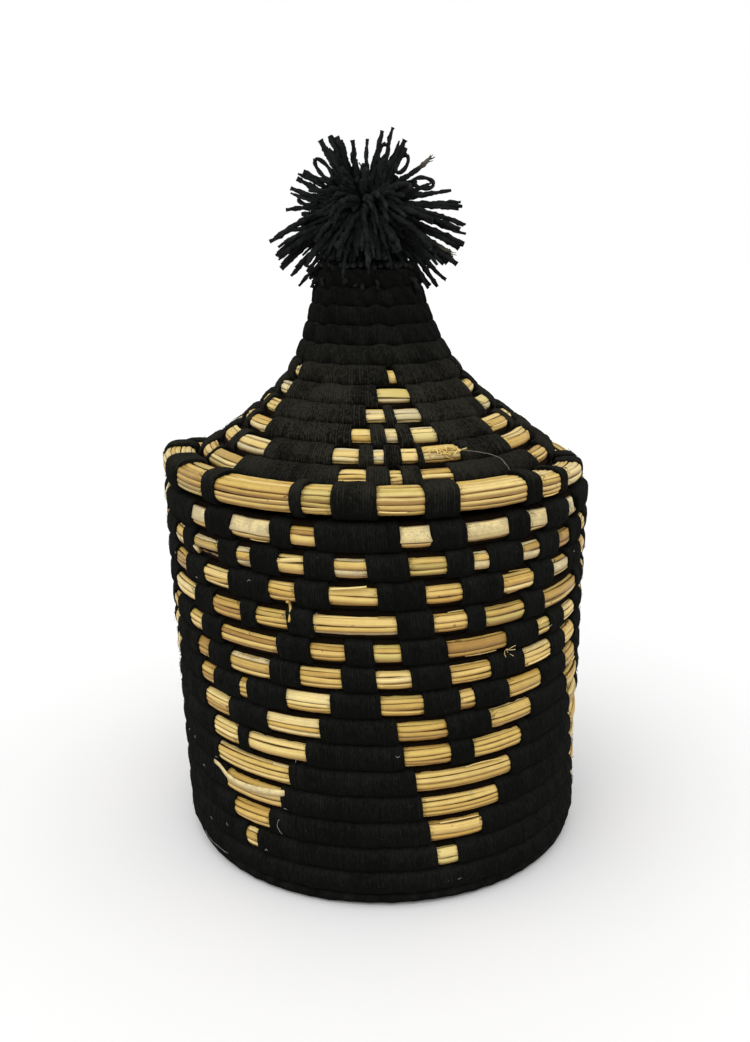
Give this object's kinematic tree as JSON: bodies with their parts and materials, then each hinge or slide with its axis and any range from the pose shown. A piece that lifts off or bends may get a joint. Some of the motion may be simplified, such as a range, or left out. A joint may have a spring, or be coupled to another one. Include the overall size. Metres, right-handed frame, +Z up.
{
  "type": "lidded basket",
  "caption": "Coiled lidded basket of straw bundles wrapped in black wool, with a flared conical lid, a narrow neck and a yarn pompom on top.",
  "frame": {"origin": "centre of the base's underside, on the surface the basket stands on", "axes": "+Z up along the basket's axis, -Y towards the front of the picture, +X to its right"},
  "size_m": [0.2, 0.2, 0.3245],
  "materials": {
    "wool_wrapped_straw": "matte",
    "yarn": "matte"
  },
  "bodies": {
    "basket": {"base_start_knot": "wool_wrapped_straw", "base_coil": "wool_wrapped_straw", "wall_coil": "wool_wrapped_straw"},
    "lid": {"lid_rim_coil": "wool_wrapped_straw", "lid_collar_coil": "wool_wrapped_straw", "lid_coil": "wool_wrapped_straw", "lid_top_knot": "wool_wrapped_straw", "pompom_cord": "yarn", "pompom_stop_knot": "yarn", "pompom_tie": "yarn", "pompom_tuft_1": "yarn", "pompom_tuft_2": "yarn", "pompom_tuft_3": "yarn", "pompom_tuft_4": "yarn"}
  },
  "joints": [
    {"name": "lid_lift", "type": "slide", "parent": "basket", "child": "lid", "axis": [0, 0, 1], "range_m": [0, 0.15]}
  ]
}
